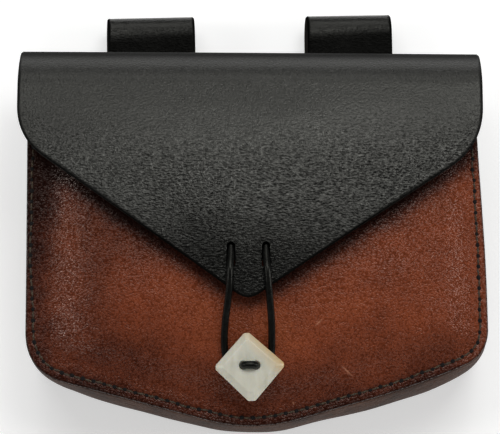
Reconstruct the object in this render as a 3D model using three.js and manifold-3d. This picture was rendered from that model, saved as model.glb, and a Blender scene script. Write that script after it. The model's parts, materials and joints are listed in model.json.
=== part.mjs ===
// Belt pouch: a moulded brown leather front and a dark gusset, closed by a black
// flap that runs on as the back panel, with two belt loops behind and a cord loop
// that hooks over a bone button.
//
// Millimetres. The pouch is drawn in its own frame: +X to the wearer's left as seen
// from the front, +Y up towards the belt with y = 0 at the top of the fold, and +Z
// out through the front with z = 0 on the rear face of the back panel. The finished
// group is then laid on its back, resting on its belt loops and its bottom edge.
import * as THREE from "three";
import { mergeVertices } from "three/addons/utils/BufferGeometryUtils.js";
import Module from "manifold-3d";

const wasm = await Module();
wasm.setup();

// Driving dimensions.
const frontLeather = 2.0;
const gussetLeather = 1.6;
const flapLeather = 2.2;
const strapLeather = 2.2;
const seamGap = 0.3; // between pieces that are sewn face to face
const halfWidth = 85; // of the front and the flap, over which their forms fall away
const gussetDepth = 36; // outside of the front flange to outside of the back flange
const flangeWidth = 8;
const mouthY = -16; // top edge of the front and the gusset, where the fold begins
const foldRise = { left: 16.1, right: 15.0 }; // top of the fold above the mouth
const foldLean = 0.27; // slope at which the fold meets the flap
const mouldedStep = 4.5; // height that the front is moulded up from its sewn border
const borderWidth = { left: 7.5, right: 4 }; // flat leather outside the moulded step
const stepWidth = 13;
const stepTail = { width: 32, share: 0.4 }; // part of the step that rises more slowly
const crownHeight = 5;
const flapClearance = 0.8; // flap above the front at the mouth
const flapSideDrop = 0.9; // the flap's side edges below its middle at the mouth
const flapSag = 0.5; // and this much more for each millimetre that the flap stands up
const cordDiameter = 2.6;
const cordHole = 3.4; // across a hole or slot that the cord goes through
const slotLength = 9.4;
const knotRadius = 3.6;
const knotThickness = 2.8;
const knotBelow = 0.9; // the knots below the flap's inner face
const knotAboveSlot = 1.6; // their middles above the middles of the slots

// Belt loops: straps folded in two behind the back panel. y and z are along their
// section, as for the pouch.
const rollRadius = 5.4; // to the middle of the strap where it turns over the belt
const rollCentreY = 10.5;
const rollReach = 7.9; // how far the middle of the strap goes on above that
const strapFlatEndY = -22; // the rear layer runs straight down to here
const strapSewnY = -42; // and lies against the front layer from here
const strapEndY = -54;

// Button: a bone square set on its corner.
const buttonPlace = { x: -0.1, y: -120.3 };
const buttonUnderside = 50.9; // z of its back face
const buttonThickness = 4.2;
const buttonBevel = 1.1; // height of the bevel round its front face
const buttonBevelWidth = 2.2;
const buttonHoleSpacing = 4.6;
const buttonHalfSide = 9.3; // from its middle to each side
const buttonEase = { width: 0.5, height: 0.6 }; // its back edges taken off
const insideKnot = { x: 4.6, y: 3.6, z: 2.4, below: 4.6 }; // half sizes; middle below the leather

// z levels, from the back to the front.
const gussetBackZ = flapLeather + seamGap;
const gussetFrontZ = gussetBackZ + gussetDepth;
const borderZ = gussetFrontZ + seamGap + frontLeather; // outer face of the front's sewn border

// The body's edge, from the left end of the mouth round the bottom to the right end.
// round is how far from the corner its curve starts.
const bodyCorners = [
  { x: -82.4, y: mouthY, round: 0 },
  { x: -82.4, y: -121.9, round: 15 },
  { x: 0.8, y: -143.8, round: 17 },
  { x: 60, y: -127.3, round: 20 },
  { x: 87.5, y: -115.6, round: 10 },
  { x: 86.9, y: -84, round: 14 },
  { x: 82.9, y: mouthY, round: 0 },
];

// The flap's free edge, from the left end of the fold round the tip to the right end.
const flapCorners = [
  { x: -85.9, y: mouthY, round: 0 },
  { x: -85.9, y: -35.9, round: 12.5 },
  { x: -0.8, y: -97.2, round: 5 },
  { x: 85.9, y: -38.9, round: 15 },
  { x: 85.9, y: mouthY, round: 0 },
];

// How far the gusset wall bulges past the seams, at shares of the way round the body.
const gussetBulges = [
  { share: 0, bulge: 0.4 },
  { share: 0.22, bulge: 0.6 },
  { share: 0.3, bulge: 0.5 },
  { share: 0.35, bulge: 2.4 },
  { share: 0.42, bulge: 2.2 },
  { share: 0.5, bulge: 1.2 },
  { share: 0.62, bulge: 2.8 },
  { share: 0.69, bulge: 3.4 },
  { share: 0.74, bulge: 0.8 },
  { share: 0.8, bulge: 0.5 },
  { share: 1, bulge: 0.4 },
];

// How far the flap's middle stands up past its height at the mouth, to clear the
// moulded front and the knots behind it.
const flapProfile = [
  { drop: 0, rise: 0 },
  { drop: 8, rise: 2.7 },
  { drop: 16, rise: 5 },
  { drop: 26, rise: 7.4 },
  { drop: 36, rise: 9.4 },
  { drop: 46, rise: 10.7 },
  { drop: 54, rise: 11.3 },
  { drop: 60, rise: 11.4 },
  { drop: 68, rise: 11.1 },
  { drop: 82, rise: 10.1 },
];

const materials = {
  brown: new THREE.MeshStandardMaterial({ color: 0x73331f, roughness: 0.45 }),
  darkBrown: new THREE.MeshStandardMaterial({ color: 0x33211b, roughness: 0.55 }),
  black: new THREE.MeshStandardMaterial({ color: 0x1d1d1c, roughness: 0.55 }),
  cord: new THREE.MeshStandardMaterial({ color: 0x111211, roughness: 0.6 }),
  bone: new THREE.MeshStandardMaterial({ color: 0xc9c4a9, roughness: 0.4 }),
};

const { clamp, lerp, smoothstep } = THREE.MathUtils;

// An open line through the corners, each rounded by a curve, as evenly spaced points.
function roundedLine(corners, steps) {
  const path = new THREE.CurvePath();
  let last = new THREE.Vector2(corners[0].x, corners[0].y);
  corners.slice(1, -1).forEach((corner, i) => {
    const here = new THREE.Vector2(corner.x, corner.y);
    const before = new THREE.Vector2(corners[i].x, corners[i].y);
    const after = new THREE.Vector2(corners[i + 2].x, corners[i + 2].y);
    const start = here.clone().add(before.sub(here).setLength(corner.round));
    const end = here.clone().add(after.sub(here).setLength(corner.round));
    path.add(new THREE.LineCurve(last, start));
    path.add(new THREE.QuadraticBezierCurve(start, here, end));
    last = end;
  });
  const finish = corners[corners.length - 1];
  path.add(new THREE.LineCurve(last, new THREE.Vector2(finish.x, finish.y)));
  path.arcLengthDivisions = 400;
  path.curves.forEach((curve) => (curve.arcLengthDivisions = 400));
  return path.getSpacedPoints(steps);
}

// The rungs of a ladder across an edge line: each joins two points that are equally
// far along it from its two ends, and the last rung is the point in its middle.
function ladder(edge) {
  const half = (edge.length - 1) / 2;
  return edge.slice(0, half + 1).map((left, i) => ({ left, right: edge[edge.length - 1 - i] }));
}

// A smooth curve through two columns of a table, as a function of the first.
function curveThrough(rows, input, output) {
  const inputs = rows.map((row) => row[input]);
  const outputs = rows.map((row) => row[output]);
  const curve = new THREE.CubicInterpolant(inputs, outputs, 1);
  return (value) => curve.evaluate(clamp(value, inputs[0], inputs[inputs.length - 1]))[0];
}

// Shares from 0 to 1 that crowd towards both ends, where leather is moulded.
function crowdedShares(columns) {
  return Array.from({ length: columns + 1 }, (_, i) => (1 - Math.cos((Math.PI * i) / columns)) / 2);
}

// A closed solid between two grids of points, [row][column]. The outer grid faces the
// way of its row direction crossed with its column direction.
function shellGeometry(outer, inner) {
  const positions = [];
  const quad = (...corners) => {
    [0, 1, 2, 0, 2, 3].forEach((k) => positions.push(...corners[k].toArray()));
  };
  const rows = outer.length - 1;
  const columns = outer[0].length - 1;
  for (let r = 0; r < rows; r++)
    for (let c = 0; c < columns; c++) {
      quad(outer[r][c], outer[r + 1][c], outer[r + 1][c + 1], outer[r][c + 1]);
      quad(inner[r][c + 1], inner[r + 1][c + 1], inner[r + 1][c], inner[r][c]);
    }
  for (let c = 0; c < columns; c++) {
    quad(outer[0][c], outer[0][c + 1], inner[0][c + 1], inner[0][c]);
    quad(outer[rows][c + 1], outer[rows][c], inner[rows][c], inner[rows][c + 1]);
  }
  for (let r = 0; r < rows; r++) {
    quad(outer[r + 1][0], outer[r][0], inner[r][0], inner[r + 1][0]);
    quad(outer[r][columns], outer[r + 1][columns], inner[r + 1][columns], inner[r][columns]);
  }
  return closedGeometry(positions);
}

// Merges the vertices of loose triangles and drops the triangles that have no area.
function closedGeometry(positions) {
  const loose = new THREE.BufferGeometry();
  loose.setAttribute("position", new THREE.Float32BufferAttribute(positions, 3));
  const merged = mergeVertices(loose, 1e-3);
  const kept = [];
  const index = merged.index.array;
  for (let i = 0; i < index.length; i += 3) {
    const [a, b, c] = [index[i], index[i + 1], index[i + 2]];
    if (a !== b && b !== c && c !== a) kept.push(a, b, c);
  }
  merged.setIndex(kept);
  merged.computeVertexNormals();
  return merged;
}

function manifoldOf(geometry) {
  const bare = new THREE.BufferGeometry();
  bare.setAttribute("position", geometry.getAttribute("position"));
  bare.setIndex(geometry.index);
  const merged = mergeVertices(bare, 1e-4);
  const vertProperties = merged.getAttribute("position").array;
  const triVerts = new Uint32Array(merged.index.array);
  return new wasm.Manifold(new wasm.Mesh({ numProp: 3, vertProperties, triVerts }));
}

function geometryOf(solid) {
  const { numProp, vertProperties, triVerts } = solid.getMesh();
  const positions = [];
  triVerts.forEach((v) => positions.push(...vertProperties.slice(v * numProp, v * numProp + 3)));
  return closedGeometry(positions);
}

function cut(geometry, cutters) {
  const solid = manifoldOf(geometry);
  return geometryOf(cutters.reduce((rest, cutter) => rest.subtract(manifoldOf(cutter)), solid));
}

function piece(name, geometry, material) {
  const mesh = new THREE.Mesh(geometry, material);
  mesh.name = name;
  return mesh;
}

const bodyEdgeSteps = 76;
const bodyEdge = roundedLine(bodyCorners, bodyEdgeSteps);
const flapEdgeSteps = 44;
const flapEdge = roundedLine(flapCorners, flapEdgeSteps);

// How far a point lies from the sewn sides and bottom of the body.
function seamDistance(x, y) {
  const point = new THREE.Vector3(x, y, 0);
  const nearest = new THREE.Vector3();
  const segment = new THREE.Line3();
  let best = Infinity;
  for (let i = 1; i < bodyEdge.length; i++) {
    segment.start.set(bodyEdge[i - 1].x, bodyEdge[i - 1].y, 0);
    segment.end.set(bodyEdge[i].x, bodyEdge[i].y, 0);
    best = Math.min(best, segment.closestPointToPoint(point, true, nearest).distanceTo(point));
  }
  return best;
}

const bottomY = Math.min(...bodyEdge.map((p) => p.y));

// Outer face of the moulded front: a flat sewn border, a step, and a low crown.
function frontZ(x, y) {
  const border = lerp(borderWidth.left, borderWidth.right, smoothstep(x, -60, 60));
  const distance = seamDistance(x, y);
  const step = lerp(
    smoothstep(distance, border, border + stepWidth),
    smoothstep(distance, border, border + stepTail.width),
    stepTail.share,
  );
  const belowMouth = 0.35 + 0.65 * smoothstep(mouthY - y, 0, 40);
  const crownUp = smoothstep(mouthY - y, 0, 60) * smoothstep(y - bottomY, 0, 60);
  const crown = crownHeight * Math.max(0, 1 - (x / halfWidth) ** 2) * crownUp;
  return borderZ + mouldedStep * step * belowMouth + crown;
}

// Outer face of the flap where it hangs over the front.
const flapMouthZ = frontZ(0, mouthY) + flapClearance + flapLeather;
const flapRiseAt = curveThrough(flapProfile, "drop", "rise");
function flapZ(x, y) {
  const rise = flapRiseAt(mouthY - y);
  return flapMouthZ + rise - (flapSideDrop + flapSag * rise) * (x / halfWidth) ** 2;
}

// A point on a surface z = height(x, y), and the point a leather's thickness below it.
function throughLeather(x, y, height, thickness) {
  const step = 0.05;
  const slopeX = (height(x + step, y) - height(x - step, y)) / (2 * step);
  const slopeY = (height(x, y + step) - height(x, y - step)) / (2 * step);
  const normal = new THREE.Vector3(-slopeX, -slopeY, 1).normalize();
  const outer = new THREE.Vector3(x, y, height(x, y));
  return { outer, inner: outer.clone().addScaledVector(normal, -thickness) };
}

function grids(rows) {
  return [rows.map((row) => row.map((p) => p.outer)), rows.map((row) => row.map((p) => p.inner))];
}

// Two round drills for the button's cord, either side of a point.
function buttonDrills(x, y, z) {
  return [-buttonHoleSpacing / 2, buttonHoleSpacing / 2].map((shift) => {
    const drill = new THREE.CylinderGeometry(cordHole / 2, cordHole / 2, 20, 16);
    return drill.rotateX(Math.PI / 2).translate(x + shift, y, z);
  });
}

// Front: one moulded piece of brown leather with two holes for the button's cord.
function frontPanel() {
  const shares = crowdedShares(20);
  const rows = ladder(roundedLine(bodyCorners, 56)).map(({ left, right }) =>
    shares.map((t) =>
      throughLeather(lerp(left.x, right.x, t), lerp(left.y, right.y, t), frontZ, frontLeather),
    ),
  );
  const drills = buttonDrills(buttonPlace.x, buttonPlace.y, borderZ);
  return piece("front_panel", cut(shellGeometry(...grids(rows)), drills), materials.brown);
}

// Gusset: a strip folded to a channel, its two flanges turned in under the panels.
const bulgeAt = curveThrough(gussetBulges, "share", "bulge");

function gusset() {
  const wallSteps = 4;
  const rows = bodyEdge.map((point, i) => {
    const before = bodyEdge[Math.max(i - 1, 0)];
    const after = bodyEdge[Math.min(i + 1, bodyEdge.length - 1)];
    const along = after.clone().sub(before).normalize();
    const outward = new THREE.Vector3(along.y, -along.x, 0);
    const bulge = bulgeAt(i / (bodyEdge.length - 1));
    const at = (inset, z) => new THREE.Vector3(point.x, point.y, z).addScaledVector(outward, -inset);
    const row = [
      { outer: at(flangeWidth, gussetBackZ), inner: at(flangeWidth, gussetBackZ + gussetLeather) },
    ];
    for (let k = 0; k <= wallSteps; k++) {
      const share = k / wallSteps;
      const out = bulge * Math.sin(Math.PI * share);
      const innerZ = lerp(gussetBackZ + gussetLeather, gussetFrontZ - gussetLeather, share);
      row.push({
        outer: at(-out, lerp(gussetBackZ, gussetFrontZ, share)),
        inner: at(gussetLeather - out, innerZ),
      });
    }
    row.push({
      outer: at(flangeWidth, gussetFrontZ),
      inner: at(flangeWidth, gussetFrontZ - gussetLeather),
    });
    return row;
  });
  return piece("gusset", shellGeometry(...grids(rows)), materials.darkBrown);
}

// Back and flap: one black piece that runs up the back, arches over the mouth and
// hangs down the front to a point, where two slots take the closing cord.
const cordSlots = [
  { x: -6.9, y: -80.3 },
  { x: 5.8, y: -80.3 },
];

// A point of the fold's outer face, from the back at turn 0 to the flap at a half turn,
// where it comes down at the flap's own slope.
function foldPoint(x, turn, rise, halfDepth) {
  const [sine, cosine] = [Math.sin(turn), Math.cos(turn)];
  const lean = foldLean * rise * sine * smoothstep(-cosine, 0, 1);
  return new THREE.Vector3(x, mouthY + rise * sine, halfDepth * (1 - cosine) - lean);
}

function backAndFlap() {
  const shares = crowdedShares(14);
  const across = ({ left, right }, surface) =>
    shares.map((t) => surface(lerp(left.x, right.x, t), lerp(left.y, right.y, t)));
  const flat = (x, y) => ({
    outer: new THREE.Vector3(x, y, 0),
    inner: new THREE.Vector3(x, y, flapLeather),
  });
  const back = ladder(roundedLine(bodyCorners, 36)).reverse();
  const archSteps = 10;
  const arch = [];
  for (let k = 1; k < archSteps; k++) {
    const share = k / archSteps;
    const turn = Math.PI * share;
    const widening = smoothstep(share, 0, 0.6);
    const left = lerp(bodyCorners[0].x, flapCorners[0].x, widening);
    const right = lerp(bodyCorners.at(-1).x, flapCorners.at(-1).x, widening);
    arch.push(
      shares.map((t) => {
        const x = lerp(left, right, t);
        const halfDepth = flapZ(x, mouthY) / 2;
        const rise = lerp(foldRise.left, foldRise.right, t);
        const outer = foldPoint(x, turn, rise, halfDepth);
        const along = foldPoint(x, turn + 0.01, rise, halfDepth).sub(outer);
        const normal = new THREE.Vector3(0, along.z, -along.y).normalize();
        return { outer, inner: outer.clone().addScaledVector(normal, -flapLeather) };
      }),
    );
  }
  const rows = [
    ...back.map((rung) => across(rung, flat)),
    ...arch,
    ...ladder(flapEdge).map((rung) => across(rung, (x, y) => throughLeather(x, y, flapZ, flapLeather))),
  ];
  const punches = cordSlots.map(({ x, y }) => {
    const slot = new THREE.Shape();
    const radius = cordHole / 2;
    const reach = slotLength / 2 - radius;
    slot.absarc(x, y + reach, radius, 0, Math.PI);
    slot.absarc(x, y - reach, radius, Math.PI, 2 * Math.PI);
    const punch = new THREE.ExtrudeGeometry(slot, { depth: 12, bevelEnabled: false, curveSegments: 8 });
    return punch.translate(0, 0, flapZ(x, y) - 7);
  });
  return piece("back_and_flap", cut(shellGeometry(...grids(rows)), punches), materials.black);
}

// Belt loop: a strap folded in two, its two ends sewn together to the back panel.
const loopFrontZ = -seamGap - strapLeather / 2;
const loopRearZ = loopFrontZ - 2 * rollRadius;
const sewnRearZ = loopFrontZ - strapLeather - seamGap;

function strapLine() {
  const line = [strapEndY, strapSewnY, strapFlatEndY].map((y) => new THREE.Vector2(y, loopFrontZ));
  const rollSteps = 12;
  for (let k = 0; k <= rollSteps; k++) {
    const turn = (Math.PI * k) / rollSteps;
    line.push(
      new THREE.Vector2(
        rollCentreY + rollReach * Math.sin(turn),
        loopFrontZ - rollRadius * (1 - Math.cos(turn)),
      ),
    );
  }
  const returnSteps = 8;
  for (let k = 0; k <= returnSteps; k++) {
    const share = k / returnSteps;
    const z = lerp(loopRearZ, sewnRearZ, smoothstep(share, 0, 1));
    line.push(new THREE.Vector2(lerp(strapFlatEndY, strapSewnY, share), z));
  }
  line.push(new THREE.Vector2(strapEndY, sewnRearZ));
  return line;
}

function beltLoop(name, { centreX, width, turn, raise }) {
  const line = strapLine();
  const rows = line.map((point, i) => {
    const before = line[Math.max(i - 1, 0)];
    const after = line[Math.min(i + 1, line.length - 1)];
    const along = after.clone().sub(before).normalize();
    const side = new THREE.Vector2(-along.y, along.x).multiplyScalar(strapLeather / 2);
    return [width / 2, -width / 2].map((x) => ({
      outer: new THREE.Vector3(x, point.x + side.x, point.y + side.y),
      inner: new THREE.Vector3(x, point.x - side.x, point.y - side.y),
    }));
  });
  const loop = piece(name, shellGeometry(...grids(rows)), materials.black);
  loop.position.set(centreX, raise, 0);
  loop.rotation.z = THREE.MathUtils.degToRad(turn);
  return loop;
}

// Round cord: an eight-sided section along a smooth line through the points.
function cordGeometry(points, steps) {
  const section = new THREE.Shape().absarc(0, 0, cordDiameter / 2, 0, 2 * Math.PI);
  const extrudePath = new THREE.CatmullRomCurve3(points, false, "centripetal");
  const options = { steps, extrudePath, curveSegments: 4, bevelEnabled: false };
  return new THREE.ExtrudeGeometry(section, options);
}

// Closing cord: out of one slot, down behind the button and back up to the other slot.
const closingRoute = [
  { x: -6.9, y: -77.2, z: 55.2 },
  { x: -6.9, y: -78.8, z: 55.8 },
  { x: -6.9, y: -80.4, z: 56.4 },
  { x: -7.0, y: -82.0, z: 57.0 },
  { x: -7.1, y: -83.6, z: 57.6 },
  { x: -7.2, y: -85.6, z: 58.1 },
  { x: -7.3, y: -88.4, z: 58.0 },
  { x: -7.4, y: -91.8, z: 57.5 },
  { x: -8.1, y: -98.0, z: 55.7 },
  { x: -8.9, y: -104.0, z: 53.0 },
  { x: -9.3, y: -110.5, z: 50.5 },
  { x: -8.9, y: -116.5, z: 49.2 },
  { x: -6.9, y: -122.0, z: 48.6 },
  { x: -3.5, y: -125.6, z: 48.1 },
  { x: 0.0, y: -126.6, z: 47.9 },
  { x: 3.3, y: -125.4, z: 48.1 },
  { x: 6.2, y: -121.6, z: 48.6 },
  { x: 7.7, y: -116.0, z: 49.2 },
  { x: 7.9, y: -110.0, z: 50.6 },
  { x: 7.8, y: -104.0, z: 53.0 },
  { x: 7.3, y: -98.0, z: 55.7 },
  { x: 6.8, y: -91.8, z: 57.5 },
  { x: 6.5, y: -88.4, z: 58.0 },
  { x: 6.3, y: -85.6, z: 58.1 },
  { x: 6.1, y: -83.6, z: 57.6 },
  { x: 6.0, y: -82.0, z: 57.0 },
  { x: 5.9, y: -80.4, z: 56.4 },
  { x: 5.8, y: -78.8, z: 55.8 },
  { x: 5.8, y: -77.2, z: 55.2 },
];

function closingCord() {
  const points = closingRoute.map(({ x, y, z }) => new THREE.Vector3(x, y, z));
  return piece("closing_cord", cordGeometry(points, 64), materials.cord);
}

// Stopper knot behind the flap, at one end of the closing cord: one plain lump.
function closingKnot(name, { x, y }) {
  const geometry = new THREE.SphereGeometry(1, 14, 8).scale(knotRadius, knotRadius, knotThickness / 2);
  const knot = piece(name, geometry, materials.cord);
  const centreY = y + knotAboveSlot;
  knot.position.set(x, centreY, flapZ(x, centreY) - flapLeather - knotBelow - knotThickness / 2);
  return knot;
}

// Button: a hand-cut square of bone with bevelled edges, clipped corners and two holes.
const buttonCorners = [
  { x: -1.2, y: 12.7, clip: 1.3 },
  { x: -13.1, y: -0.8, clip: 1.1 },
  { x: 0.9, y: -14.1, clip: 1.9 },
  { x: 13.1, y: 0.4, clip: 1.0 },
];

// The four sides moved in by an inset, with every corner clipped.
function buttonOutline(inset) {
  const corners = buttonCorners.map(({ x, y }) => new THREE.Vector2(x, y));
  const shrink = 1 - inset / buttonHalfSide;
  return corners.flatMap((corner, i) => {
    const before = corners[(i + corners.length - 1) % corners.length];
    const after = corners[(i + 1) % corners.length];
    const { clip } = buttonCorners[i];
    return [before, after].map((other) =>
      corner.clone().add(other.clone().sub(corner).setLength(clip)).multiplyScalar(shrink),
    );
  });
}

function button() {
  const bevelBase = buttonThickness - buttonBevel;
  const levels = [
    { inset: buttonEase.width, z: 0 },
    { inset: 0, z: buttonEase.height },
    { inset: 0, z: bevelBase },
    { inset: buttonBevelWidth, z: buttonThickness },
  ];
  const rings = levels.map(({ inset, z }) =>
    buttonOutline(inset).map((corner) => new THREE.Vector3(corner.x, corner.y, z)),
  );
  const positions = [];
  const triangle = (a, b, c) => positions.push(...a.toArray(), ...b.toArray(), ...c.toArray());
  const count = rings[0].length;
  rings.slice(1).forEach((upper, k) => {
    const lower = rings[k];
    for (let i = 0; i < count; i++) {
      const j = (i + 1) % count;
      triangle(lower[i], lower[j], upper[j]);
      triangle(lower[i], upper[j], upper[i]);
    }
  });
  const top = rings[rings.length - 1];
  for (let i = 1; i < count - 1; i++) {
    triangle(top[0], top[i], top[i + 1]);
    triangle(rings[0][0], rings[0][i + 1], rings[0][i]);
  }
  const geometry = cut(closedGeometry(positions), buttonDrills(0, 0, 0));
  const made = piece("button", geometry, materials.bone);
  made.position.set(buttonPlace.x, buttonPlace.y, buttonUnderside);
  return made;
}

// Button cord: up through the front and the button, across and back down, and tied
// off inside the pouch in one knot.
function buttonCord() {
  const { x, y } = buttonPlace;
  const half = buttonHoleSpacing / 2;
  const topZ = buttonUnderside + buttonThickness + seamGap + cordDiameter / 2;
  const insideZ = frontZ(x, y) - frontLeather;
  const rising = [
    new THREE.Vector3(x - half * 0.6, y, insideZ - 5),
    new THREE.Vector3(x - half, y, insideZ - 1.5),
    new THREE.Vector3(x - half, y, insideZ + 4),
    new THREE.Vector3(x - half, y, topZ - 1.9),
    new THREE.Vector3(x - half * 0.72, y, topZ - 0.45),
    new THREE.Vector3(x, y, topZ),
  ];
  const falling = rising.slice(0, -1).reverse().map((p) => new THREE.Vector3(2 * x - p.x, p.y, p.z));
  const tube = manifoldOf(cordGeometry([...rising, ...falling], 40));
  const knot = new THREE.SphereGeometry(1, 16, 10)
    .scale(insideKnot.x, insideKnot.y, insideKnot.z)
    .translate(x, y, insideZ - insideKnot.below);
  return piece("button_cord", geometryOf(tube.add(manifoldOf(knot))), materials.cord);
}

// The pouch laid on its back: turned until the belt loops and the bottom edge both
// touch the surface, and moved so that the origin is under the middle of its box.
const lieBack = Math.atan(
  Math.max(...strapLine().map((p) => (strapLeather / 2 - p.y) / (p.x - bottomY))),
);

const pouch = new THREE.Group();
pouch.add(
  frontPanel(),
  gusset(),
  backAndFlap(),
  beltLoop("belt_loop_left", { centreX: -37.8, width: 33.6, turn: 1.2, raise: -0.4 }),
  beltLoop("belt_loop_right", { centreX: 38.8, width: 32.6, turn: 0.9, raise: 0.5 }),
  closingCord(),
  closingKnot("closing_knot_left", cordSlots[0]),
  closingKnot("closing_knot_right", cordSlots[1]),
  button(),
  buttonCord(),
);
pouch.rotation.x = lieBack;
pouch.updateMatrixWorld(true);
const box = new THREE.Box3().setFromObject(pouch, true);
pouch.position.set(-(box.min.x + box.max.x) / 2, -(box.min.y + box.max.y) / 2, -box.min.z);

export default pouch;
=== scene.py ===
"""Leather belt pouch, closed, lying on its back on a pale floor."""
import json
import math
import bmesh
import bpy
import numpy as np
from mathutils import Matrix, Vector, noise


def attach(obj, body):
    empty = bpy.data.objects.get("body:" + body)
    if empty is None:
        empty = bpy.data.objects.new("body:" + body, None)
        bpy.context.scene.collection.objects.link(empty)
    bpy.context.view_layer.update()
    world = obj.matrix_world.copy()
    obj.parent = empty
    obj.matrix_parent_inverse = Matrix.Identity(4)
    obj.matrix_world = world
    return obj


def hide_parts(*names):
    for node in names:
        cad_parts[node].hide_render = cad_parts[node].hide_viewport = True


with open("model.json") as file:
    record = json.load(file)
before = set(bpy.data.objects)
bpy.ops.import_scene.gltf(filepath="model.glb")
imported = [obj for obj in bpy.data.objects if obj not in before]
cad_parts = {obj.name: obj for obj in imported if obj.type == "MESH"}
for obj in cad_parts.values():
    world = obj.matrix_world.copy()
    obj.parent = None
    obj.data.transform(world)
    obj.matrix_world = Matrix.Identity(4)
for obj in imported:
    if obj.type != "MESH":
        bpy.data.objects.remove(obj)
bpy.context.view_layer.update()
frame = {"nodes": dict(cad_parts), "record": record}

# ----------------
# Camera, and how the pouch lies. The pouch is worked out in its own millimetres: x to
# the right, y up to the belt from the top of the fold, z out through the front. It
# lies tipped back on its loops, and the camera looks from a little below its front.
MM = 0.001
back_place = Vector((0, -85, 0))
back_face = next(mount for mount in frame["record"]["mounts"] if mount["name"] == "back_face")
lie_back = math.atan2(back_face["axis"][1], -back_face["axis"][2])
lay_down = (Matrix.Translation(Vector(back_face["pos_m"])) @ Matrix.Rotation(lie_back, 4, "X")
            @ Matrix.Scale(MM, 4) @ Matrix.Translation(-back_place))


def laid(points, directions=False):
    """Points, or directions, in the pouch's own millimetres, in the frame's metres."""
    matrix = np.array(lay_down)
    turned = np.asarray(points, float) @ matrix[:3, :3].T
    return turned / MM if directions else turned + matrix[:3, 3]


def placed(name, data):
    """A new object at the origin that holds a mesh, curve, light or camera."""
    made = bpy.data.objects.new(name, data)
    bpy.context.collection.objects.link(made)
    return made


view_tilt = math.radians(7)
view_distance = 1000
view_centre = np.array([0, -65.264, 45])
half_view_width = 91.675
film_width = 36

towards_camera = np.array([0, -math.sin(view_tilt), math.cos(view_tilt)])
eye = Vector(laid(view_centre + view_distance * towards_camera))
aim = Vector(laid(view_centre))
camera = placed("camera", bpy.data.cameras.new("camera"))
camera.data.sensor_width = film_width
camera.data.lens = film_width / 2 * view_distance / half_view_width
camera.data.clip_end = 20
camera.location = eye
camera.rotation_euler = (aim - eye).to_track_quat("-Z", "Y").to_euler()
bpy.context.scene.camera = camera

# ----------------
# Closing cord: round black leather cord, 2.6 mm thick, drawn and waxed. It is knotted
# behind the flap, comes out of two slots and hooks behind the button.
cord_diameter = 2.6
closing_route = [
    (-6.9, -77.2, 55.2), (-6.9, -78.8, 55.8), (-6.9, -80.4, 56.4), (-7.0, -82.0, 57.0),
    (-7.1, -83.6, 57.6), (-7.2, -85.6, 58.1), (-7.3, -88.4, 58.0), (-7.4, -91.8, 57.5),
    (-8.1, -98.0, 55.7), (-8.9, -104.0, 53.0), (-9.3, -110.5, 50.5), (-8.9, -116.5, 49.2),
    (-6.9, -122.0, 48.6), (-3.5, -125.6, 48.1), (0.0, -126.6, 47.9), (3.3, -125.4, 48.1),
    (6.2, -121.6, 48.6), (7.7, -116.0, 49.2), (7.9, -110.0, 50.6), (7.8, -104.0, 53.0),
    (7.3, -98.0, 55.7), (6.8, -91.8, 57.5), (6.5, -88.4, 58.0), (6.3, -85.6, 58.1),
    (6.1, -83.6, 57.6), (6.0, -82.0, 57.0), (5.9, -80.4, 56.4), (5.8, -78.8, 55.8),
    (5.8, -77.2, 55.2),
]


def distances_along(line, power=1):
    """How far along a line of points each of them lies, its steps raised to a power."""
    steps = np.linalg.norm(np.diff(line, axis=0), axis=1) ** power
    return np.concatenate([[0], np.cumsum(steps)])


def smooth_line(points, per_span=10):
    """A centripetal Catmull-Rom line through the points."""
    points = np.asarray(points, float)
    points = np.vstack([2 * points[0] - points[1], points, 2 * points[-1] - points[-2]])
    made = []
    for i in range(1, len(points) - 2):
        p = points[i - 1:i + 3]
        t = distances_along(p, 0.5)
        for s in np.linspace(t[1], t[2], per_span, endpoint=False):
            a = [((t[k + 1] - s) * p[k] + (s - t[k]) * p[k + 1]) / (t[k + 1] - t[k])
                 for k in range(3)]
            b = [((t[k + 2] - s) * a[k] + (s - t[k]) * a[k + 1]) / (t[k + 2] - t[k])
                 for k in range(2)]
            made.append(((t[2] - s) * b[0] + (s - t[1]) * b[1]) / (t[2] - t[1]))
    return np.array(made + [points[-2]])


def round_cord(name, points, diameter):
    """A round cord along points in the frame's metres, as a curve of one open spline."""
    data = bpy.data.curves.new(name, "CURVE")
    data.dimensions = "3D"
    data.bevel_depth = diameter / 2
    data.bevel_resolution = 6
    data.use_fill_caps = True
    spline = data.splines.new("POLY")
    spline.points.add(len(points) - 1)
    for point, place in zip(spline.points, points):
        point.co = (*place, 1)
    spline.use_smooth = True
    return placed(name, data)


def linear(hex_colour):
    """A colour given as sRGB hex, as linear red, green, blue and alpha."""
    parts = [int(hex_colour[i:i + 2], 16) / 255 for i in (1, 3, 5)]
    return [c / 12.92 if c <= 0.04045 else ((c + 0.055) / 1.055) ** 2.4 for c in parts] + [1]


def feed(node, inputs):
    """Sets a node's inputs, by name or in order, to values, or links them to a socket or
    to the output in use of another node. A mix has its share at 0 and its colours at 6
    and 7; a range has its value, the two levels it comes from and the two it goes to."""
    for key, value in inputs.items() if isinstance(inputs, dict) else enumerate(inputs):
        if isinstance(value, bpy.types.Node):
            value = next(output for output in value.outputs if output.enabled)
        if isinstance(value, bpy.types.NodeSocket):
            node.id_data.links.new(value, node.inputs[key])
        else:
            node.inputs[key].default_value = value


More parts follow.
